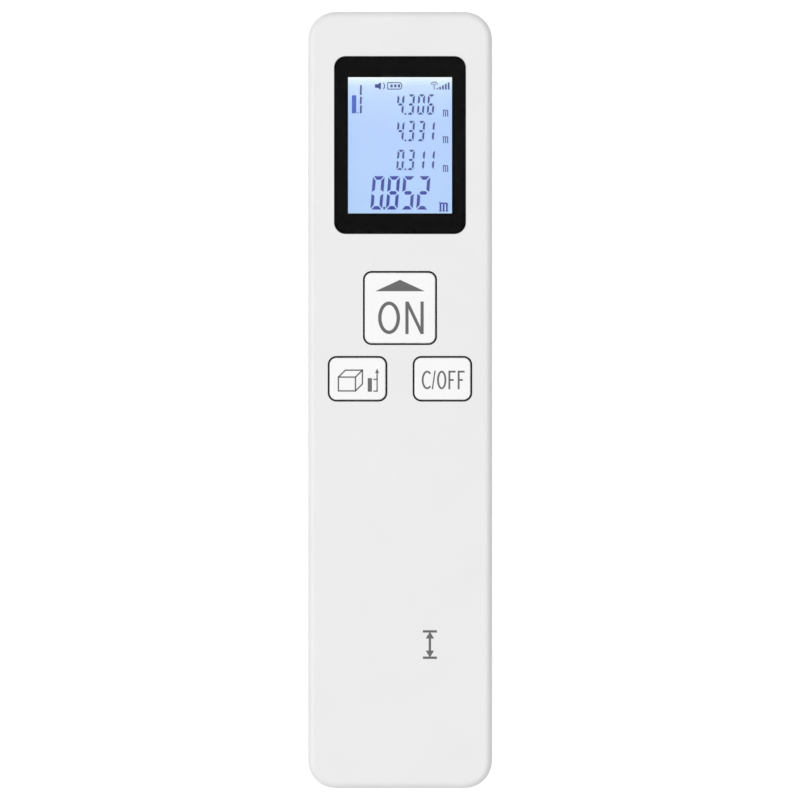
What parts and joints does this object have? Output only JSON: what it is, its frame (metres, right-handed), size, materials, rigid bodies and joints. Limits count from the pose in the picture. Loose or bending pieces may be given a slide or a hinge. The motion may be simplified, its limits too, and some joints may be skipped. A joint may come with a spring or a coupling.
{
  "type": "laser distance meter",
  "caption": "Slim pen-type laser distance meter with a black-bordered display window, square and oblong press keys and a sliding battery cover.",
  "frame": {"origin": "middle of the back face, on which the meter lies", "axes": "+Z out of the display face, +Y towards the measuring end, +X to the right when the display is read"},
  "size_m": [0.0308, 0.13, 0.017],
  "materials": {
    "case_white": "fine satin moulded plastic",
    "cover_white": "fine satin moulded plastic",
    "key_white": "smooth satin plastic",
    "window_clear": "polished clear pane",
    "mask_black": "printed gloss black",
    "tape_black": "black tape",
    "polarizer": "thin film",
    "display_glass": "thin polished glass",
    "display_layer": "liquid crystal layer, lit pale blue",
    "polarizer_rear": "thin film",
    "light_guide": "lit light guide",
    "frame_black": "moulded black",
    "ribbon_amber": "polyimide film",
    "socket_cream": "moulded cream",
    "gasket_black": "matt silicone",
    "switch_body": "moulded black",
    "switch_plunger": "moulded dark grey",
    "board_green": "solder resist",
    "chip_black": "moulded epoxy",
    "bright_steel": "bright",
    "optics_black": "glass-filled black",
    "barrel_brass": "turned",
    "lens_glass": "polished",
    "bezel_black": "gloss black",
    "pane_clear": "polished",
    "pane_red": "red band-pass filter",
    "cell_wrap": "printed wrap",
    "contact_nickel": "nickel plated",
    "spring_steel": "nickel plated wire",
    "screw_steel": "zinc plated",
    "mark_grey": "flat printed ink",
    "label_grey": "plain satin film"
  },
  "bodies": {
    "case": {"front_shell": "case_white", "measuring_sign": "mark_grey", "back_shell": "case_white", "display_window": "window_clear", "window_mask": "mask_black", "window_adhesive": "tape_black", "front_polarizer": "polarizer", "lcd_glass_front": "display_glass", "lcd_glass_rear": "display_layer", "rear_polarizer": "polarizer_rear", "light_guide": "light_guide", "lcd_frame": "frame_black", "lcd_flex": "ribbon_amber", "lcd_socket": "socket_cream", "key_gasket": "gasket_black", "on_switch": "switch_body", "mode_switch": "switch_body", "clear_switch": "switch_body", "main_board": "board_green", "board_chips": "chip_black", "crystal": "bright_steel", "sounder": "frame_black", "optics_chassis": "optics_black", "laser_diode": "bright_steel", "laser_barrel": "barrel_brass", "collimator_lens": "lens_glass", "receiver_lens": "lens_glass", "receiver_board": "board_green", "detector": "bright_steel", "shield_can": "bright_steel", "optics_flex": "ribbon_amber", "optics_sockets": "socket_cream", "optics_bezel": "bezel_black", "laser_window": "pane_clear", "receiver_window": "pane_red", "battery_left": "cell_wrap", "battery_right": "cell_wrap", "positive_contact": "contact_nickel", "negative_contact": "contact_nickel", "bridge_contact": "contact_nickel", "bay_springs": "spring_steel", "case_screws": "screw_steel", "optics_screws": "screw_steel", "back_label": "label_grey"},
    "on_key": {"on_button": "key_white", "on_plunger": "switch_plunger"},
    "mode_key": {"mode_button": "key_white", "mode_plunger": "switch_plunger"},
    "clear_key": {"clear_button": "key_white", "clear_plunger": "switch_plunger"},
    "cover": {"battery_cover": "cover_white"}
  },
  "joints": [
    {"name": "on_key_press", "type": "slide", "parent": "case", "child": "on_key", "axis": [0, 0, -1], "range_m": [0, 0.0003], "stiffness_N_per_m": 5000},
    {"name": "mode_key_press", "type": "slide", "parent": "case", "child": "mode_key", "axis": [0, 0, -1], "range_m": [0, 0.0003], "stiffness_N_per_m": 5000},
    {"name": "clear_key_press", "type": "slide", "parent": "case", "child": "clear_key", "axis": [0, 0, -1], "range_m": [0, 0.0003], "stiffness_N_per_m": 5000},
    {"name": "cover_slide", "type": "slide", "parent": "case", "child": "cover", "axis": [0, -1, 0], "range_m": [0, 0.054]}
  ]
}
